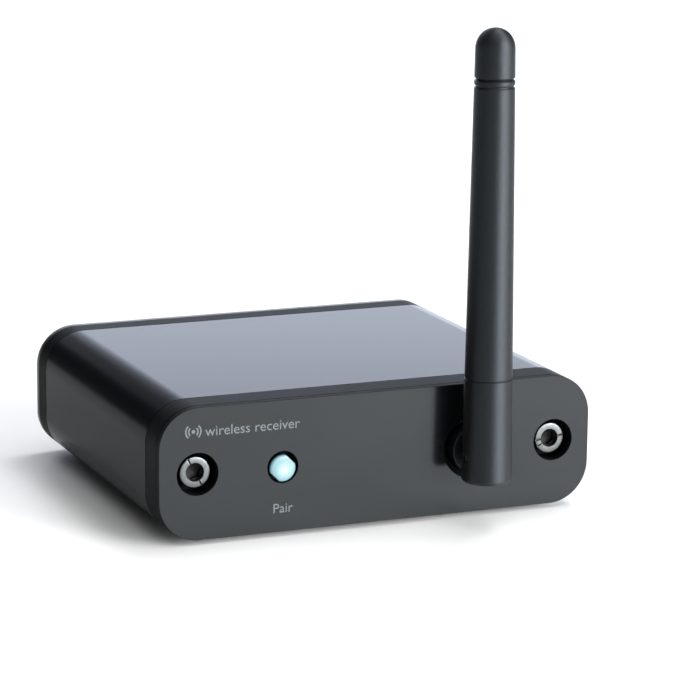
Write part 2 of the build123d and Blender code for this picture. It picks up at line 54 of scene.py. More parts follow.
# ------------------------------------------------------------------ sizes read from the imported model
SL0, SL1 = nbox("sleeve")
FB0, FB1 = nbox("front_bezel")
FA0, FA1 = nbox("front_fascia")
RB0, RB1 = nbox("rear_bezel")
RP0, RP1 = nbox("rear_plate")
W = SL1[0] - SL0[0]
H = SL1[2] - SL0[2]
ZC = (SL1[2] + SL0[2]) / 2
R = 8.0
Y_F, Y_FB = FA0[1], FA1[1]
Y_S0, Y_S1 = SL0[1], SL1[1]
Y_B0 = FB0[1]
Y_R = RP1[1]
Y_Q1 = RB1[1]
SCREW_X = 36.8
PB0, PB1 = nbox("pair_button")
BX = (PB0[0] + PB1[0]) / 2
BZ = (PB0[2] + PB1[2]) / 2
HOLE_Z = ZC - 0.19
AE0, AE1 = nbox("hinge_pin")
AX, AY = (AE0[0] + AE1[0]) / 2, (AE0[1] + AE1[1]) / 2

# ================================================================== mesh helpers (millimetres in, metres out)


def finish_mesh(name, bm, body, mat, replaces=(), sharp=32, weighted=True):
    bmesh.ops.remove_doubles(bm, verts=bm.verts, dist=1e-7)
    bmesh.ops.recalc_face_normals(bm, faces=bm.faces)
    me = bpy.data.meshes.new(name)
    bm.to_mesh(me)
    bm.free()
    for p in me.polygons:
        p.use_smooth = True
    me.set_sharp_from_angle(angle=math.radians(sharp))
    ob = bpy.data.objects.new(name, me)
    bpy.context.scene.collection.objects.link(ob)
    me.materials.append(mat)
    if weighted:
        wn = ob.modifiers.new("wn", "WEIGHTED_NORMAL")
        wn.keep_sharp = True
        wn.weight = 80
    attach(ob, body)
    if replaces:
        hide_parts(*replaces)
    return ob


def rrect(inset, n=18):
    """Points (x, z) round a rounded rectangle the size of the case, moved inwards by inset."""
    r = max(R - inset, 0.05)
    hw, hh = W / 2 - inset, H / 2 - inset
    pts = []
    for cx, cz, a0 in ((hw - r, hh - r, 0), (-hw + r, hh - r, 90), (-hw + r, -hh + r, 180), (hw - r, -hh + r, 270)):
        for i in range(n + 1):
            a = math.radians(a0 + 90 * i / n)
            pts.append((cx + r * math.cos(a), ZC + cz + r * math.sin(a)))
    return pts


def add_loops(bm, loops, close_ring=False, cap_first=False, cap_last=False):
    """Quads between successive closed loops of the same length; points in millimetres."""
    rows = [[bm.verts.new((x * MM, y * MM, z * MM)) for x, y, z in lp] for lp in loops]
    pairs = list(zip(rows, rows[1:]))
    if close_ring:
        pairs.append((rows[-1], rows[0]))
    for a, b in pairs:
        n = len(a)
        for i in range(n):
            j = (i + 1) % n
            bm.faces.new((a[i], a[j], b[j], b[i]))
    if cap_first:
        bm.faces.new(rows[0])
    if cap_last:
        bm.faces.new(list(reversed(rows[-1])))
    return rows


def arc(cx, cy, r, a0, a1, n):
    return [(cx + r * math.cos(math.radians(a0 + (a1 - a0) * i / n)), cy + r * math.sin(math.radians(a0 + (a1 - a0) * i / n))) for i in range(n + 1)]


def rnd(pts, default=0.0, closed=False, n=5):
    """Rounds a polyline's corners. Each point is (a, b) or (a, b, radius)."""
    m = len(pts)
    out = []
    for i, p in enumerate(pts):
        r = p[2] if len(p) > 2 else default
        if r <= 0 or (not closed and i in (0, m - 1)):
            out.append((p[0], p[1]))
            continue
        a, b, c = Vector(pts[i - 1][:2]), Vector(p[:2]), Vector(pts[(i + 1) % m][:2])
        u, v = (a - b), (c - b)
        lu, lv = u.length, v.length
        u.normalize(), v.normalize()
        ang = u.angle(v)
        if ang > math.pi - 0.02:
            out.append((p[0], p[1]))
            continue
        t = min(r / math.tan(ang / 2), lu * 0.49, lv * 0.49)
        rr = t * math.tan(ang / 2)
        s, e = b + u * t, b + v * t
        cen = b + (u + v).normalized() * (rr / math.sin(ang / 2))
        s0, e0 = s - cen, e - cen
        tot = s0.angle_signed(e0)
        for k in range(n + 1):
            q = s0.copy()
            q.rotate(Matrix.Rotation(-tot * k / n, 2))
            out.append((cen.x + q.x, cen.y + q.y))
    return out


def lathe(bm, prof, axis, cx, cz, seg=96, closed=True):
    """Revolves a profile of (radius, height). axis 'y': height is Y and (cx, cz) is (X, Z). axis 'z': height is Z and (cx, cz) is (X, Y)."""
    loops = []
    for r, h in prof:
        lp = []
        for i in range(seg):
            a = 2 * math.pi * i / seg
            c, s = r * math.cos(a), r * math.sin(a)
            lp.append((cx + c, h, cz + s) if axis == "y" else (cx + c, cz + s, h))
        loops.append(lp)
    rows = []
    for (r, h), lp in zip(prof, loops):
        if r < 1e-6:
            p = lp[0]
            rows.append([bm.verts.new((p[0] * MM, p[1] * MM, p[2] * MM))])
        else:
            rows.append([bm.verts.new((x * MM, y * MM, z * MM)) for x, y, z in lp])
    pairs = list(zip(rows, rows[1:]))
    if closed:
        pairs.append((rows[-1], rows[0]))
    for a, b in pairs:
        if len(a) == 1 and len(b) == 1:
            continue
        for i in range(seg):
            j = (i + 1) % seg
            if len(a) == 1:
                bm.faces.new((a[0], b[j], b[i]))
            elif len(b) == 1:
                bm.faces.new((a[i], a[j], b[0]))
            else:
                bm.faces.new((a[i], a[j], b[j], b[i]))


def circle(cx, cz, r, n=72):
    return [(cx + r * math.cos(2 * math.pi * i / n), cz + r * math.sin(2 * math.pi * i / n)) for i in range(n)]


def rect_loop(x0, x1, z0, z1, r=0.3, n=5):
    pts = []
    for cx, cz, a0 in ((x1 - r, z1 - r, 0), (x0 + r, z1 - r, 90), (x0 + r, z0 + r, 180), (x1 - r, z0 + r, 270)):
        pts += arc(cx, cz, r, a0, a0 + 90, n)
    return pts


def plate(outer, holes, y0, y1, bevel, res=3):
    """A flat plate with holes and rounded edges: outlines are (x, z) in millimetres, from y0 to y1. Returns a bmesh."""
    cu = bpy.data.curves.new("tmp", "CURVE")
    cu.dimensions = "2D"
    cu.fill_mode = "BOTH"
    for loop in [outer] + holes:
        sp = cu.splines.new("POLY")
        sp.points.add(len(loop) - 1)
        for q, (x, z) in zip(sp.points, loop):
            q.co = (x, z, 0, 1)
        sp.use_cyclic_u = True
    t = (y1 - y0) / 2
    cu.extrude = t - bevel
    cu.bevel_depth = bevel
    cu.bevel_resolution = res
    cu.offset = -bevel
    ob = bpy.data.objects.new("tmp", cu)
    bpy.context.scene.collection.objects.link(ob)
    bpy.context.view_layer.update()
    me = bpy.data.meshes.new_from_object(ob.evaluated_get(bpy.context.evaluated_depsgraph_get()))
    bm = bmesh.new()
    bm.from_mesh(me)
    bpy.data.objects.remove(ob)
    bpy.data.curves.remove(cu)
    bpy.data.meshes.remove(me)
    mid = (y0 + y1) / 2
    for v in bm.verts:
        x, z, h = v.co
        v.co = (x * MM, (mid - h) * MM, z * MM)
    return bm


def join(bm, other):
    me = bpy.data.meshes.new("tmp")
    other.to_mesh(me)
    bm.from_mesh(me)
    bpy.data.meshes.remove(me)
    other.free()


# ================================================================== materials


class Mat:
    """A node material on object coordinates, which are the row frame in metres."""

    def __init__(self, name, base, rough, ior=1.5, metallic=0.0):
        self.m = bpy.data.materials.new(name)
        self.m.use_nodes = True
        self.nt = self.m.node_tree
        self.b = self.nt.nodes["Principled BSDF"]
        self.b.inputs["Base Color"].default_value = (*base, 1)
        self.b.inputs["Roughness"].default_value = rough
        self.b.inputs["IOR"].default_value = ior
        self.b.inputs["Metallic"].default_value = metallic
        self.base, self.rough = base, rough
        self.tc = self.nt.nodes.new("ShaderNodeTexCoord")
        self.bump_in = None

    def node(self, kind, **inputs):
        n = self.nt.nodes.new(kind)
        for k, v in inputs.items():
            n.inputs[k.replace("_", " ")].default_value = v
        return n

    def coord(self, scale=(1, 1, 1)):
        if scale == (1, 1, 1):
            return self.tc.outputs["Object"]
        mp = self.nt.nodes.new("ShaderNodeMapping")
        mp.inputs["Scale"].default_value = scale
        self.nt.links.new(self.tc.outputs["Object"], mp.inputs["Vector"])
        return mp.outputs["Vector"]

    def noise(self, scale, detail=3.0, rough=0.5, stretch=(1, 1, 1)):
        n = self.node("ShaderNodeTexNoise", Scale=scale, Detail=detail, Roughness=rough)
        self.nt.links.new(self.coord(stretch), n.inputs["Vector"])
        return n.outputs["Fac"]

    def voronoi(self, scale, feature="F1", stretch=(1, 1, 1)):
        n = self.node("ShaderNodeTexVoronoi", Scale=scale)
        n.feature = feature
        self.nt.links.new(self.coord(stretch), n.inputs["Vector"])
        return n.outputs["Distance"]

    def rng(self, value, lo, hi, frm=(0.3, 0.7)):
        n = self.nt.nodes.new("ShaderNodeMapRange")
        n.inputs["From Min"].default_value = frm[0]
        n.inputs["From Max"].default_value = frm[1]
        n.inputs["To Min"].default_value = lo
        n.inputs["To Max"].default_value = hi
        self.nt.links.new(value, n.inputs["Value"])
        return n.outputs["Result"]

    def math(self, op, a, b=None):
        n = self.nt.nodes.new("ShaderNodeMath")
        n.operation = op
        for i, v in enumerate((a, b)):
            if v is None:
                continue
            if isinstance(v, (int, float)):
                n.inputs[i].default_value = v
            else:
                self.nt.links.new(v, n.inputs[i])
        return n.outputs[0]

    def rough_vary(self, scale, amount, stretch=(1, 1, 1), detail=4):
        self.nt.links.new(self.rng(self.noise(scale, detail, 0.6, stretch), self.rough - amount, self.rough + amount), self.b.inputs["Roughness"])
        return self

    def color_vary(self, scale, other, stretch=(1, 1, 1), detail=4, frm=(0.35, 0.7)):
        mix = self.nt.nodes.new("ShaderNodeMix")
        mix.data_type = "RGBA"
        mix.inputs["A"].default_value = (*self.base, 1)
        mix.inputs["B"].default_value = (*other, 1)
        self.nt.links.new(self.rng(self.noise(scale, detail, 0.6, stretch), 0, 1, frm), mix.inputs["Factor"])
        self.nt.links.new(mix.outputs["Result"], self.b.inputs["Base Color"])
        self.mix = mix
        return self

    def wear(self, other, frm=(0.515, 0.56)):
        """A slightly different colour along worn convex edges."""
        g = self.nt.nodes.new("ShaderNodeNewGeometry")
        w = self.math("MULTIPLY", self.rng(g.outputs["Pointiness"], 0, 1, frm), self.rng(self.noise(900, 5, 0.7), 0, 1, (0.45, 0.62)))
        mix = self.nt.nodes.new("ShaderNodeMix")
        mix.data_type = "RGBA"
        mix.inputs["B"].default_value = (*other, 1)
        src = self.b.inputs["Base Color"]
        if src.is_linked:
            self.nt.links.new(src.links[0].from_socket, mix.inputs["A"])
        else:
            mix.inputs["A"].default_value = (*self.base, 1)
        self.nt.links.new(w, mix.inputs["Factor"])
        self.nt.links.new(mix.outputs["Result"], src)
        return self

    def bump(self, height, strength, distance):
        n = self.nt.nodes.new("ShaderNodeBump")
        n.inputs["Strength"].default_value = strength
        n.inputs["Distance"].default_value = distance
        self.nt.links.new(height, n.inputs["Height"])
        if self.bump_in:
            self.nt.links.new(self.bump_in, n.inputs["Normal"])
        self.nt.links.new(n.outputs["Normal"], self.b.inputs["Normal"])
        self.bump_in = n.outputs["Normal"]
        return self


def spec(m, level=None, tint=None, coat=None, coat_rough=0.1, aniso=None):
    if level is not None:
        m.b.inputs["Specular IOR Level"].default_value = level
    if tint is not None:
        m.b.inputs["Specular Tint"].default_value = (*tint, 1)
    if coat is not None:
        m.b.inputs["Coat Weight"].default_value = coat
        m.b.inputs["Coat Roughness"].default_value = coat_rough
    if aniso is not None:
        m.b.inputs["Anisotropic"].default_value = aniso
    return m


M = {}
# black anodised case: bead-blasted grain under a hard satin skin
a = Mat("case_black", (0.0032, 0.0042, 0.0052), 0.22, ior=1.11)
spec(a, tint=(0.88, 0.93, 1.0))
a.color_vary(3200, (0.0038, 0.0048, 0.0058)).rough_vary(2600, 0.010)
a.wear((0.02, 0.021, 0.023))
a.bump(a.noise(6200, 4, 0.65), 0.012, 0.00003)
M["case_black"] = a.m
# moulded end frames: finer satin plastic
a = Mat("bezel_black", (0.0034, 0.0044, 0.0050), 0.50, ior=1.095)
a.rough_vary(1400, 0.02).color_vary(900, (0.0048, 0.0058, 0.0064))
a.wear((0.02, 0.021, 0.022))
a.bump(a.noise(8200, 3, 0.6), 0.10, 0.00003)
M["bezel_black"] = a.m
# fascia: very dark, reflective, softly blurred
a = Mat("fascia_black", (0.0032, 0.0045, 0.0050), 0.16, ior=1.49)
spec(a, tint=(0.88, 0.94, 1.0))
a.rough_vary(1500, 0.008).color_vary(1200, (0.0045, 0.0054, 0.0056))
a.bump(a.noise(9000, 2, 0.5), 0.02, 0.00001)
M["fascia_black"] = a.m
# the fascia's cut edge and hole walls are matt
a = Mat("fascia_edge", (0.004, 0.005, 0.0055), 0.6, ior=1.15)
a.rough_vary(1500, 0.03).color_vary(1200, (0.006, 0.0065, 0.007)).bump(a.noise(6000, 3), 0.2, 0.00002)
M["fascia_edge"] = a.m
a = Mat("rear_plate_black", (0.010, 0.011, 0.012), 0.38, ior=1.55)
a.rough_vary(350, 0.04).color_vary(900, (0.014, 0.015, 0.016))
a.bump(a.noise(5200, 4, 0.65), 0.15, 0.00003)
M["rear_plate_black"] = a.m
a = Mat("foil", (0.004, 0.004, 0.004), 0.7)
a.rough_vary(900, 0.08).bump(a.noise(4000, 3), 0.2, 0.00003)
M["foil"] = a.m
# bright zinc on the screws, turned face
a = Mat("screw_steel", (0.102, 0.110, 0.112), 0.36, metallic=1.0)
a.rough_vary(1800, 0.08, detail=6).color_vary(1500, (0.085, 0.09, 0.09), frm=(0.5, 0.75))
a.bump(a.noise(9000, 4, 0.7), 0.25, 0.00003)
M["screw_steel"] = a.m
a = Mat("socket_shadow", (0.006, 0.006, 0.007), 0.6, ior=1.3)
a.rough_vary(2000, 0.1).bump(a.noise(5000, 4), 0.3, 0.00004)
M["socket_shadow"] = a.m
a = Mat("foot_rubber", (0.018, 0.018, 0.018), 0.75)
a.rough_vary(900, 0.08).color_vary(1400, (0.03, 0.03, 0.03)).bump(a.noise(6000, 4, 0.7), 0.5, 0.00006)
M["foot_rubber"] = a.m
# circuit board: lacquer over a faint track pattern
a = Mat("board", (0.012, 0.085, 0.040), 0.38, ior=1.5)
br = a.nt.nodes.new("ShaderNodeTexBrick")
br.inputs["Scale"].default_value = 420
br.inputs["Mortar Size"].default_value = 0.012
br.inputs["Color1"].default_value = (0.012, 0.085, 0.040, 1)
br.inputs["Color2"].default_value = (0.014, 0.095, 0.046, 1)
br.inputs["Mortar"].default_value = (0.030, 0.150, 0.075, 1)
a.nt.links.new(a.coord(), br.inputs["Vector"])
a.nt.links.new(br.outputs["Color"], a.b.inputs["Base Color"])
a.rough_vary(900, 0.05).bump(a.noise(3000, 3), 0.15, 0.00004)
M["board"] = a.m
a = Mat("can", (0.60, 0.60, 0.58), 0.34, metallic=1.0)
a.rough_vary(1500, 0.07, stretch=(1, 6, 1)).color_vary(800, (0.52, 0.52, 0.5)).bump(a.noise(2500, 3), 0.15, 0.00005)
M["can"] = a.m
a = Mat("chip", (0.022, 0.022, 0.024), 0.6)
a.rough_vary(1500, 0.07).bump(a.noise(9000, 4, 0.7), 0.35, 0.00003)
M["chip"] = a.m
a = Mat("capacitor", (0.55, 0.57, 0.62), 0.32, metallic=1.0)
a.rough_vary(2500, 0.07, stretch=(1, 1, 0.1)).color_vary(700, (0.42, 0.44, 0.5)).bump(a.noise(3000, 3), 0.1, 0.00003)
M["capacitor"] = a.m
a = Mat("switch", (0.03, 0.03, 0.032), 0.5)
a.rough_vary(1200, 0.06).bump(a.noise(7000, 3), 0.25, 0.00003)
M["switch"] = a.m
a = Mat("gold", (0.83, 0.60, 0.27), 0.20, metallic=1.0)
a.rough_vary(1600, 0.05, stretch=(1, 8, 1)).color_vary(700, (0.78, 0.54, 0.22)).bump(a.noise(2600, 4, 0.6, (0.3, 3, 0.3)), 0.10, 0.00003)
M["gold"] = a.m
a = Mat("jack_white", (0.72, 0.72, 0.69), 0.42, ior=1.5)
a.rough_vary(900, 0.05).color_vary(600, (0.66, 0.66, 0.62)).bump(a.noise(6000, 3), 0.12, 0.00003)
M["jack_white"] = a.m
a = Mat("jack_red", (0.42, 0.012, 0.012), 0.40, ior=1.5)
a.rough_vary(900, 0.05).color_vary(600, (0.36, 0.010, 0.010)).bump(a.noise(6000, 3), 0.12, 0.00003)
M["jack_red"] = a.m
a = Mat("black_moulding", (0.014, 0.014, 0.015), 0.48)
a.rough_vary(900, 0.06).color_vary(1100, (0.02, 0.02, 0.021)).bump(a.noise(7000, 4, 0.6), 0.3, 0.00003)
M["black_moulding"] = a.m
a = Mat("emitter", (0.45, 0.02, 0.02), 0.08, ior=1.5)
a.rough_vary(700, 0.03).bump(a.noise(900, 2), 0.05, 0.00005)
M["emitter"] = a.m
a = Mat("socket_shell", (0.66, 0.67, 0.68), 0.24, metallic=1.0)
a.rough_vary(1800, 0.07, stretch=(1, 5, 1)).color_vary(800, (0.56, 0.57, 0.58)).bump(a.noise(4000, 3), 0.12, 0.00003)
M["socket_shell"] = a.m
a = Mat("ptfe", (0.80, 0.80, 0.77), 0.5)
a.rough_vary(900, 0.05).bump(a.noise(5000, 3), 0.15, 0.00003)
M["ptfe"] = a.m
# antenna: satin moulding with a visible fine grain
a = Mat("antenna_black", (0.0042, 0.0056, 0.0070), 0.46, ior=1.41)
spec(a, tint=(0.82, 0.91, 1.0), aniso=0.79)
a.b.inputs["Anisotropic Rotation"].default_value = 0.25
a.rough_vary(1500, 0.04, detail=5).color_vary(2200, (0.0070, 0.0078, 0.0082))
a.bump(a.noise(3600, 5, 0.8), 0.75, 0.00005)
M["antenna_black"] = a.m
a = Mat("pin_steel", (0.45, 0.46, 0.46), 0.35, metallic=1.0)
a.rough_vary(1800, 0.08).bump(a.noise(6000, 4), 0.2, 0.00003)
M["pin_steel"] = a.m
a = Mat("copper", (0.62, 0.33, 0.18), 0.35, metallic=1.0)
a.rough_vary(1400, 0.07).color_vary(900, (0.5, 0.26, 0.14)).bump(a.noise(4000, 3), 0.15, 0.00003)
M["copper"] = a.m
a = Mat("coax", (0.03, 0.03, 0.03), 0.5)
a.rough_vary(900, 0.06).bump(a.noise(5000, 3), 0.2, 0.00003)
M["coax"] = a.m
# screen-printed ink
a = Mat("print_ink", (0.070, 0.091, 0.101), 0.5)
a.color_vary(5000, (0.052, 0.069, 0.078), frm=(0.45, 0.7)).rough_vary(2000, 0.06).bump(a.noise(9000, 3), 0.3, 0.00002)
M["print_ink"] = a.m
a = Mat("print_ink_dim", (0.30, 0.34, 0.37), 0.5)
a.color_vary(5000, (0.22, 0.26, 0.29), frm=(0.45, 0.7)).rough_vary(2000, 0.06).bump(a.noise(9000, 3), 0.3, 0.00002)
M["print_ink_dim"] = a.m


def glow(name, base, cold, hot, centre, spot, reach, low, high, rough, wall=0.5):
    """Milky plastic lit from behind: the glow is strongest at a spot beside the middle and fades to the rim. Down the
    side wall the glow fades out and the base colour darkens to a painted shade of the hole.
    """
    g = Mat(name, base, rough, ior=1.5)
    d = g.nt.nodes.new("ShaderNodeVectorMath")
    d.operation = "DISTANCE"
    g.nt.links.new(g.tc.outputs["Object"], d.inputs[0])
    d.inputs[1].default_value = [c * MM for c in (centre[0] + spot[0], centre[1], centre[2] + spot[1])]
    fall = g.rng(d.outputs["Value"], 1.0, 0.0, (0.0, reach * MM))
    fall = g.math("MULTIPLY", fall, g.rng(g.noise(2600, 3, 0.6), 0.86, 1.1))
    sq = g.math("POWER", fall, 1.6)
    mix = g.nt.nodes.new("ShaderNodeMix")
    mix.data_type = "RGBA"
    mix.inputs["A"].default_value = (*cold, 1)
    mix.inputs["B"].default_value = (*hot, 1)
    g.nt.links.new(sq, mix.inputs["Factor"])
    g.nt.links.new(mix.outputs["Result"], g.b.inputs["Emission Color"])
    sep = g.nt.nodes.new("ShaderNodeSeparateXYZ")
    g.nt.links.new(g.tc.outputs["Object"], sep.inputs[0])
    face = g.rng(sep.outputs["Y"], 1.0, 0.0, (centre[1] * MM + 0.00012, centre[1] * MM + wall * MM))
    g.nt.links.new(g.math("MULTIPLY", g.rng(sq, low, high, (0, 1)), face), g.b.inputs["Emission Strength"])
    # painted shade: following the face mask, the base colour darkens to near black down the cap's side wall inside its
    # hole
    dark = g.nt.nodes.new("ShaderNodeMix")
    dark.data_type = "RGBA"
    dark.inputs["A"].default_value = (0.012, 0.022, 0.026, 1)
    dark.inputs["B"].default_value = (*base, 1)
    g.nt.links.new(face, dark.inputs["Factor"])
    g.nt.links.new(dark.outputs["Result"], g.b.inputs["Base Color"])
    g.rough_vary(1500, 0.05)
    g.bump(g.noise(3000, 4, 0.6), 0.12, 0.00005)
    return g.m


M["button"] = glow("button", (0.105, 0.175, 0.19), (0.36, 0.86, 1.0), (0.90, 1.0, 1.0), (BX, PB0[1], BZ), (0.30, -0.35), 2.4, 0.16, 1.0, 0.30, 0.75)
M["led"] = glow("led", (0.7, 0.9, 0.95), (0.6, 0.9, 1.0), (0.9, 1.0, 1.0), (BX, -27.9, ZC), (0, -4.3), 6, 1.0, 2.0, 0.2, 40)

for n, o in NODES.items():
    s = o.material_slots[0].material.name.split(".")[0]
    for k in range(len(o.material_slots)):
        o.material_slots[k].material = M[s]

# ================================================================== case


def shell_loops(stations, n=18):
    return [[(x, y, z) for x, z in rrect(i, n)] for i, y in stations]


def tube_stations(y0, y1, wall, e=0.22, ei=0.12, outer0=None, outer1=None):
    """(inset, y) round a hollow frame's section: outside, far rim, inside, near rim."""
    e0 = e if outer0 is None else outer0
    e1 = e if outer1 is None else outer1
    sec = rnd([(0, y0, e0), (0, y1, e1), (wall, y1, ei), (wall, y0, ei)], closed=True, n=5)
    return sec


# sleeve: rolled edges at both ends, screw channels and rails inside
bm = bmesh.new()
add_loops(bm, shell_loops(tube_stations(Y_S0, Y_S1, 2.0, e=0.16), 26), close_ring=True)
for s in (-1, 1):
    # C-shaped screw channel joined to the wall
    prof = []
    for k in range(0, 31):
        a = math.radians(20 + 320 * k / 30)
        prof.append((3.0 * math.cos(a), 3.0 * math.sin(a)))
    for k in range(0, 31):
        a = math.radians(340 - 320 * k / 30)
        prof.append((1.5 * math.cos(a), 1.5 * math.sin(a)))
    lp = lambda y: [(s * (SCREW_X - px), y, ZC + pz) for px, pz in prof]
    rows = add_loops(bm, [lp(Y_S0 + 0.05), lp(Y_S1 - 0.05)])
    for row in rows:
        n = len(row) // 2
        for i in range(n - 1):
            bm.faces.new((row[i], row[i + 1], row[-2 - i], row[-1 - i]))
    x0, x1 = sorted((s * (SCREW_X + 2.8), s * (W / 2 - 1.9)))
    for z0, z1, xa, xb in ((ZC - 1.6, ZC + 1.6, x0, x1),) + tuple(
        (z0, z1, *sorted((s * 38.7, s * 42.6))) for z0, z1 in ((4.2, 5.1), (6.9, 7.8))
    ):
        loop = lambda y: [(xa, y, z0), (xb, y, z0), (xb, y, z1), (xa, y, z1)]
        add_loops(bm, [loop(Y_S0 + 0.05), loop(Y_S1 - 0.05)], cap_first=True, cap_last=True)
finish_mesh("case_sleeve", bm, "case", M["case_black"], ["sleeve"])


def web_with(bm, y0, y1, holes, bosses, inset, sign):
    """The end frame's web, with its holes, and the screw bosses behind it."""
    join(bm, plate(rrect(inset, 26), holes, y0, y1, 0.06, 2))
    for cx, ro, ri, ya, yb in bosses:
        lathe(bm, [(ri, ya), (ro, ya), (ro, yb), (ri, yb)], "y", cx, ZC, 72)


# front end frame
bm = bmesh.new()
add_loops(bm, shell_loops(tube_stations(Y_B0, Y_S0, 2.5, e=0.16, outer0=0.14), 26), close_ring=True)
holes = [circle(s * SCREW_X, ZC, 4.15) for s in (-1, 1)] + [circle(BX, HOLE_Z, 3.15), circle(AX, ZC, 4.9)]
web_with(
    bm, Y_B0 + 0.02, Y_B0 + 2.0, holes,
    [(s * SCREW_X, 5.2, 4.15, Y_B0 + 1.9, Y_S0 - 0.4) for s in (-1, 1)], 0.6, 1,
)
for s in (-1, 1):
    lathe(bm, [(1.65, -31.9), (4.3, -31.9), (4.3, -30.2), (1.65, -30.2)], "y", s * SCREW_X, ZC, 72)
finish_mesh("front_frame", bm, "case", M["bezel_black"], ["front_bezel"])

# rear end frame
bm = bmesh.new()
add_loops(bm, shell_loops(tube_stations(Y_S1, Y_Q1, 2.5, e=0.16), 26), close_ring=True)
holes = [circle(s * SCREW_X, ZC, 4.15) for s in (-1, 1)] + [
    rect_loop(2.8, 31.2, 4.9, 21.2), rect_loop(-11.65, -1.35, 4.9, 19.05), rect_loop(-28.4, -17.6, 4.9, 10.6),
]
web_with(
    bm, Y_Q1 - 2.0, Y_Q1 - 0.02, holes,
    [(s * SCREW_X, 5.2, 4.15, Y_S1 + 0.4, Y_Q1 - 1.9) for s in (-1, 1)], 0.6, -1,
)
for s in (-1, 1):
    lathe(bm, [(1.65, 34.4 - 1.6), (4.3, 34.4 - 1.6), (4.3, 34.4), (1.65, 34.4)], "y", s * SCREW_X, ZC, 72)
finish_mesh("rear_frame", bm, "case", M["bezel_black"], ["rear_bezel"])

# fascia and rear plate
bm = plate(rrect(0, 30), [circle(s * SCREW_X, ZC, 4.1, 96) for s in (-1, 1)] + [circle(BX, HOLE_Z, 3.1, 96), circle(AX, ZC, 6.0, 96)], Y_F, Y_FB, 0.06, 3)
fascia = finish_mesh("fascia", bm, "case", M["fascia_black"], ["front_fascia"], sharp=8)
fascia.data.materials.append(M["fascia_edge"])
for p in fascia.data.polygons:
    if abs(p.normal.y) < 0.999:
        p.material_index = 1
bm = plate(
    rrect(0, 30),
    [circle(s * SCREW_X, ZC, 4.1, 96) for s in (-1, 1)] + [circle(10, ZC, 5.25, 96), circle(24, ZC, 5.25, 96)]
    + [rect_loop(-11.55, -1.45, 6.65, 18.95, 0.25), rect_loop(-27.3, -18.7, 6.32, 10.12, 1.0, 8)],
    RP0[1], Y_R, 0.2, 4,
)
finish_mesh("back_plate", bm, "case", M["rear_plate_black"], ["rear_plate"], sharp=7)


# ================================================================== screws
def cap_screw(bm, cx, face, t, turn, marks):
    """Hex socket cap screw; t is +1 when its shank points to +Y. marks are small nicks in the ring, as angles."""
    N = 192
    af = 2.8

    def ring(r, d, mod=0.0, nick=0.0):
        lp = []
        for i in range(N):
            a = 2 * math.pi * i / N
            rr = r + (mod if (i // 2) % 2 else 0.0)
            dd = d
            if nick:
                for m, w in marks:
                    da = (math.degrees(a) - m + 180) % 360 - 180
                    if abs(da) < w:
                        dd += nick * (1 - (da / w) ** 2)
            lp.append((cx + rr * math.cos(a), face + t * dd, ZC + rr * math.sin(a)))
        return lp

    def hexr(a):
        b = (math.degrees(a) - turn) % 60 - 30
        return af / 2 / math.cos(math.radians(b))

    def hexring(depth_of):
        lp = []
        for i in range(N):
            a = 2 * math.pi * i / N
            r = hexr(a)
            lp.append((cx + r * math.cos(a), face + t * depth_of(r), ZC + r * math.sin(a)))
        return lp

    mouth = 1.76
    loops = [
        [(cx, face + t * 2.35, ZC)] * N,
        [(cx + p[0] * 0 + (q[0] - cx) * 0.55, face + t * 2.3, ZC + (q[2] - ZC) * 0.55) for p, q in zip([(0,)] * N, hexring(lambda r: 2.0))],
        hexring(lambda r: 2.0), hexring(lambda r: 0.95 + (1.62 - r) * 0.6), ring(1.63, 0.92), ring(1.66, 0.35), ring(mouth, 0.14), ring(mouth + 0.03, 0.04), ring(mouth + 0.10, 0.0),
        ring(1.92, 0.0, nick=0.10), ring(2.05, 0.0, nick=0.30), ring(2.76, 0.0, nick=0.34), ring(2.84, 0.015, nick=0.2), ring(2.90, 0.03, nick=0.1), ring(2.98, 0.08), ring(3.05, 0.17), ring(3.08, 0.32),
        ring(3.08, 0.62), ring(3.10, 0.72, -0.09), ring(3.10, 2.95, -0.09), ring(3.05, 3.1), ring(2.75, 3.2), ring(1.48, 3.2),
    ]
    z = 3.25
    while z < 13.4:
        loops += [ring(1.48, z), ring(1.22, z + 0.25)]
        z += 0.5
    loops += [ring(1.2, 13.7), ring(0.93, 14.2), [(cx, face + t * 14.2, ZC)] * N]
    add_loops(bm, loops)


for nm, rep, face, t in (("front_cap_screws", "front_screws", nbox("front_screws")[0][1], 1), ("rear_cap_screws", "rear_screws", nbox("rear_screws")[1][1], -1)):
    bm = bmesh.new()
    cap_screw(bm, -SCREW_X, face, t, 14, [(118, 4.0), (298, 3.0)])
    cap_screw(bm, SCREW_X, face, t, 38, [(184, 4.5), (10, 3.5), (212, 2.5)])
    bmesh.ops.remove_doubles(bm, verts=bm.verts, dist=1e-7)
    bad = [f for f in bm.faces if f.calc_area() < 1e-13]
    bmesh.ops.delete(bm, geom=bad, context="FACES_ONLY")
    ob = finish_mesh(nm, bm, "case", M["screw_steel"], [rep], sharp=28, weighted=False)
    ob.data.materials.append(M["socket_shadow"])
    for p in ob.data.polygons:
        c = p.center / MM
        d = (c.y - face) * t
        r = math.hypot(abs(c.x) - SCREW_X, c.z - ZC)
        if (r < 1.72 and 0.22 < d < 3.0) or d > 3.3:
            p.material_index = 1

# ================================================================== button
bm = bmesh.new()
y = PB0[1]
Y_WEB = Y_B0 + 2.0
prof = rnd([
    (0.0, y), (0.9, y + 0.008), (1.6, y + 0.03), (2.2, y + 0.085, 0.2), (2.52, y + 0.22, 0.2), (2.6, y + 0.45, 0.15),
    (2.6, Y_WEB + 0.1), (2.6, Y_WEB + 0.15), (4.2, Y_WEB + 0.15, 0.06), (4.2, Y_WEB + 1.05, 0.06), (1.9, Y_WEB + 1.05, 0.1), (1.9, PB1[1], 0.1), (0.0, PB1[1]),
], n=4)
lathe(bm, prof, "y", BX, BZ, 128)
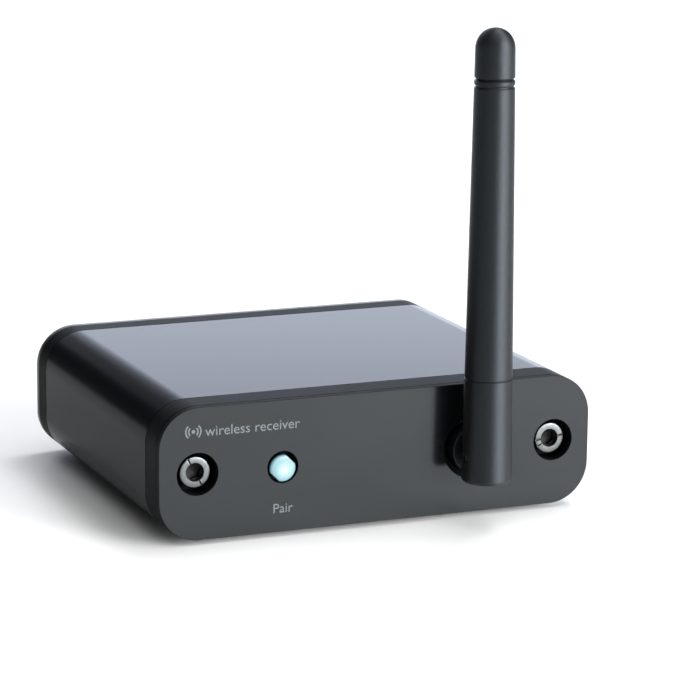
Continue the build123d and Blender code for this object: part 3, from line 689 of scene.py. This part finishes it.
# two flats key the cap's head
for v in bm.verts:
    if v.co.y / MM < Y_WEB + 0.12:
        dx, dz = v.co.x / MM - BX, v.co.z / MM - BZ
        q = (dx + dz) * math.sqrt(0.5)
        lim = 2.26 - 0.14 * max(0.0, 1 - (v.co.y / MM - y) / 0.3)
        if abs(q) > lim:
            k = (abs(q) - lim) * math.copysign(math.sqrt(0.5), q)
            v.co.x -= k * MM
            v.co.z -= k * MM
finish_mesh("button_cap", bm, "pairing_button", M["button"], ["pair_button"], sharp=35)

# ================================================================== antenna
KN0, KN1 = nbox("antenna_knuckle")
SH0, SH1 = nbox("antenna_sheath")
TP0, TP1 = nbox("antenna_tip")
SEAM = KN1[2]
TOP = TP1[2]
BASE = KN0[2]
SLOPE = 0.0131
R_SEAM = 4.59


def mr(z):
    return R_SEAM + (SEAM - z) * SLOPE


GA, GB = 1.0 + 83.95, 1.0 + 85.3
gw, gd = 0.36, 0.36


def groove_pts(z, r=0.12):
    return [(mr(z - gw), z - gw, r), (mr(z) - gd, z, 0.16), (mr(z + gw), z + gw, r)]


# taper broken into short rings so that it stays round and even
body_rings = [(mr(z), z) for z in (SEAM + 2, SEAM + 10, SEAM + 20, SEAM + 30, SEAM + 40, SEAM + 50)]
prof = rnd(
    [(2.65, SEAM - 6.9), (3.3, SEAM - 6.9, 0.1), (3.3, SEAM + 0.02), (R_SEAM - 0.12, SEAM + 0.02), (mr(SEAM + 0.12), SEAM + 0.14, 0.10)]
    + body_rings + groove_pts(GA) + [(mr(GB - gw), GB - gw, 0.12), (mr(GB) - gd, GB), (2.65, GB)],
    n=4,
)
bm = bmesh.new()
lathe(bm, prof, "z", AX, AY, 128)
finish_mesh("mast_sheath", bm, "antenna_mast", M["antenna_black"], ["antenna_sheath"], sharp=50)

DOME = TOP - 3.95
rd = mr(DOME)
dome = [(rd * math.cos(math.radians(q)) ** 0.92, DOME + (TOP - DOME) * math.sin(math.radians(q))) for q in (6, 12, 18, 24, 30, 36, 42, 48, 54, 60, 66, 72, 77, 82, 86)]
prof = rnd(
    [(0, GB - 6.0), (2.62, GB - 6.0), (2.62, GB + 0.01), (mr(GB) - gd, GB + 0.01), (mr(GB + gw), GB + gw, 0.12), (mr(GB + 2), GB + 2), (rd, DOME)]
    + dome + [(0, TOP)],
    n=4,
)
bm = bmesh.new()
lathe(bm, prof, "z", AX, AY, 128)
finish_mesh("mast_tip", bm, "antenna_mast", M["antenna_black"], ["antenna_tip"], sharp=50)

GR0, GR1 = nbox("antenna_grip")
gy0, gy1 = GR0[1], GR1[1]
bm = bmesh.new()
lathe(bm, rnd([(3.0, gy0, 0.08), (4.7, gy0, 0.3), (4.7, gy1 - 0.3, 0.1), (4.4, gy1, 0.1), (4.02, gy1), (4.02, gy0 + 1.3), (3.0, gy0 + 1.3)], closed=True, n=6), "y", AX, ZC, 128)
finish_mesh("foot_grip", bm, "case", M["antenna_black"], ["antenna_grip"], sharp=50)

# ================================================================== feet
FT0, FT1 = nbox("rubber_feet")
bm = bmesh.new()
for x in (FT0[0] + 4, FT1[0] - 4):
    for yy in (FT0[1] + 4, FT1[1] - 4):
        lathe(bm, rnd([(0, 0), (2.4, 0), (2.6, 0.12), (2.9, 0.12), (3.1, 0), (3.75, 0, 0.15), (4.0, 0.4, 0.15), (4.0, 1.0, 0.02), (0, 1.0)], n=3), "z", x, yy, 72)
finish_mesh("feet", bm, "case", M["foot_rubber"], ["rubber_feet"], sharp=40)

# ================================================================== back panel connectors
for side, slotn in (("left", "jack_white"), ("right", "jack_red")):
    a0, a1 = nbox(f"jack_shell_{side}")
    jx, e = (a0[0] + a1[0]) / 2, a1[1]
    bm = bmesh.new()
    lathe(bm, rnd([(3.32, 27.5), (3.7, 27.5, 0.05), (3.7, Y_R + 0.62), (4.15, Y_R + 0.62), (4.15, e, 0.3), (3.32, e, 0.12)], closed=True, n=6), "y", jx, ZC, 112)
    finish_mesh(f"phono_shell_{side}", bm, "case", M["gold"], [f"jack_shell_{side}"], sharp=45)
    b0, b1 = nbox(f"jack_insulator_{side}")
    bm = bmesh.new()
    lathe(bm, rnd([(2.35, 27.5), (3.3, 27.5), (3.3, b1[1], 0.15), (2.15, b1[1], 0.08), (1.75, b1[1] - 0.4, 0.1), (1.75, 33.0), (2.35, 33.0)], closed=True, n=5), "y", jx, ZC, 96)
    finish_mesh(f"phono_core_{side}", bm, "case", M[slotn], [f"jack_insulator_{side}"], sharp=45)
    c0, c1 = nbox(f"jack_collar_{side}")
    bm = bmesh.new()
    lathe(bm, rnd([(3.75, c0[1]), (5.1, c0[1]), (5.1, c1[1], 0.25), (3.75, c1[1], 0.05)], closed=True, n=5), "y", jx, ZC, 96)
    finish_mesh(f"phono_ring_{side}", bm, "case", M[slotn], [f"jack_collar_{side}"], sharp=45)


# ================================================================== printed legends (thin ink, 0.02 mm proud)
def ink(name, text, x, z, size, mat, body="case", back=False, slot="button", align="LEFT", spacing=1.0):
    cu = bpy.data.curves.new(name, "FONT")
    cu.body = text
    cu.size = size * MM
    cu.align_x = align
    cu.space_character = spacing
    cu.extrude = 0.006 * MM
    cu.resolution_u = 4
    ob = bpy.data.objects.new(name + "_src", cu)
    bpy.context.scene.collection.objects.link(ob)
    bpy.context.view_layer.update()
    me = bpy.data.meshes.new_from_object(ob.evaluated_get(bpy.context.evaluated_depsgraph_get()))
    bpy.data.objects.remove(ob)
    bpy.data.curves.remove(cu)
    yy = (Y_R + 0.008) if back else (Y_F - 0.008)
    rot = Matrix.Rotation(math.radians(90), 4, "X")
    if back:
        rot = Matrix.Rotation(math.radians(180), 4, "Z") @ rot
    me.transform(Matrix.Translation((x * MM, yy * MM, z * MM)) @ rot)
    me.name = name
    me.materials.clear()
    me.materials.append(mat)
    o = bpy.data.objects.new(name, me)
    bpy.context.scene.collection.objects.link(o)
    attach(o, body)
    return o


ink("legend_button", "Pair", (BX), 4.75, 2.65, M["print_ink"], align="CENTER")
ink("legend_front", "wireless receiver", -35.3, 21.0, 2.75, M["print_ink"], spacing=1.0)
for nm, txt, x, z in (
    ("legend_left", "L", 10.0, 19.6), ("legend_right", "R", 24.0, 19.6), ("legend_optical", "optical", -6.5, 20.3), ("legend_power", "5 V", -23.0, 12.0),
):
    ink(nm, txt, x, z, 2.3, M["print_ink_dim"], back=True, align="CENTER")

# sign beside the front legend: a dot with two arcs each side
bm = bmesh.new()
icx, icz = -37.65, 22.05


def flat_band(r0, r1, a0, a1, n=20):
    rows = []
    for yy in (Y_F - 0.014, Y_F - 0.002):
        inner = [(icx + r0 * math.cos(math.radians(a0 + (a1 - a0) * i / n)), yy, icz + r0 * math.sin(math.radians(a0 + (a1 - a0) * i / n))) for i in range(n + 1)]
        outer = [(icx + r1 * math.cos(math.radians(a1 + (a0 - a1) * i / n)), yy, icz + r1 * math.sin(math.radians(a1 + (a0 - a1) * i / n))) for i in range(n + 1)]
        rows.append(inner + outer)
    made = add_loops(bm, rows)
    for row in made:
        m = len(row) // 2
        for i in range(m - 1):
            bm.faces.new((row[i], row[i + 1], row[-2 - i], row[-1 - i]))


flat_band(0.0001, 0.36, 0, 360, 28)
for half in (0, 180):
    flat_band(0.78, 1.06, half - 48, half + 48)
    flat_band(1.36, 1.64, half - 48, half + 48)
finish_mesh("legend_sign", bm, "case", M["print_ink"], weighted=False)

# ================================================================== stage
stage_mat = Mat("stage_floor", (0.93, 0.93, 0.93), 0.6)
stage_mat.rough_vary(30, 0.04)
me = bpy.data.meshes.new("floor")
me.from_pydata([(-6, -6, 0), (6, -6, 0), (6, 8, 0), (-6, 8, 0)], [], [(0, 1, 2, 3)])
floor = bpy.data.objects.new("floor", me)
me.materials.append(stage_mat.m)
bpy.context.scene.collection.objects.link(floor)


def area(name, pos, target, size, power, color=(1, 1, 1), spread=180):
    li = bpy.data.lights.new(name, "AREA")
    li.shape = "RECTANGLE"
    li.size, li.size_y = size
    li.energy = power
    li.color = color
    li.spread = math.radians(spread)
    ob = bpy.data.objects.new(name, li)
    ob.location = pos
    ob.rotation_euler = (Vector(target) - Vector(pos)).to_track_quat("-Z", "Y").to_euler()
    bpy.context.scene.collection.objects.link(ob)
    return ob


def polar(az, el, dist, tz=0.03):
    a, e = math.radians(az), math.radians(el)
    return (dist * math.sin(a) * math.cos(e), -dist * math.cos(a) * math.cos(e), dist * math.sin(e) + tz)


def panel(name, az, el, w, h, radiance, color=(1, 1, 1)):
    """A softbox on a 2.2 m sphere round the object, sized in degrees, out of the camera's sight."""
    sx, sy = 4.4 * math.tan(math.radians(w / 2)), 4.4 * math.tan(math.radians(h / 2))
    ob = area(name, polar(az, el, 2.2), (0, 0, 0.02), (sx, sy), radiance * math.pi * sx * sy, color)
    ob.visible_camera = False
    return ob


# long low softbox round the front right, brighter in its middle; a cool low one behind, which the top mirrors; soft panels overhead
COOL = (0.77, 0.84, 1.0)
for nm, az, el, w, h, rad, col in (
    ("front_low_a", 15, 7, 15, 15, 17, (1, 1, 1)),
    ("front_low_b", 30, 7, 15, 15, 44, (1, 1, 1)),
    ("front_low_c", 45, 7, 15, 15, 20, (1, 1, 1)),
    ("front_low_d", 60, 7, 15, 15, 14, (1, 1, 1)),
    ("front_mid_a", 37.5, 22, 30, 15, 11.0, (1, 1, 1)),
    ("front_mid_b", 60, 22, 15, 15, 5.7, (1, 1, 1)),
    ("back_low", 157.5, 9, 30, 18, 4.2, COOL),
    ("back_side", -180, 14, 15, 8, 2.3, COOL),
    ("over_left", -60, 62, 40, 24, 0.8, (1, 1, 1)),
    ("over_front", 0, 62, 40, 24, 1.2, (1, 1, 1)),
    ("over_right", 45, 62, 40, 24, 1.6, (1, 1, 1)),
    ("over_side", 122, 64, 30, 20, 8.2, (1, 1, 1)),
    ("over_top", 0, 86, 24, 24, 1.5, (1, 1, 1)),
    ("over_back", -180, 40, 30, 20, 2.0, (1, 1, 1)),
):
    panel(nm, az, el, w, h, rad, col)

world = bpy.data.worlds.new("world")
world.use_nodes = True
bpy.context.scene.world = world
world.node_tree.nodes["Background"].inputs["Color"].default_value = (0.9, 0.95, 1.0, 1)
world.node_tree.nodes["Background"].inputs["Strength"].default_value = 0.06

# ================================================================== camera
cam = bpy.data.cameras.new("camera")
cam.sensor_width = 36
cam.lens = 161.251
cam.clip_start = 0.05
cam.clip_end = 50
co = bpy.data.objects.new("camera", cam)
co.matrix_world = Matrix((
    (0.92215078, 0.07720271, -0.37904838, -0.23008741),
    (-0.38668747, 0.21062798, -0.89783554, -0.56709027),
    (0.01052286, 0.974513, 0.22408408, 0.16744952),
    (0, 0, 0, 1),
))
bpy.context.scene.collection.objects.link(co)
bpy.context.scene.camera = co

sc = bpy.context.scene
sc.view_settings.view_transform = "Standard"
sc.view_settings.look = "None"
sc.view_settings.exposure = 0
sc.view_settings.gamma = 1
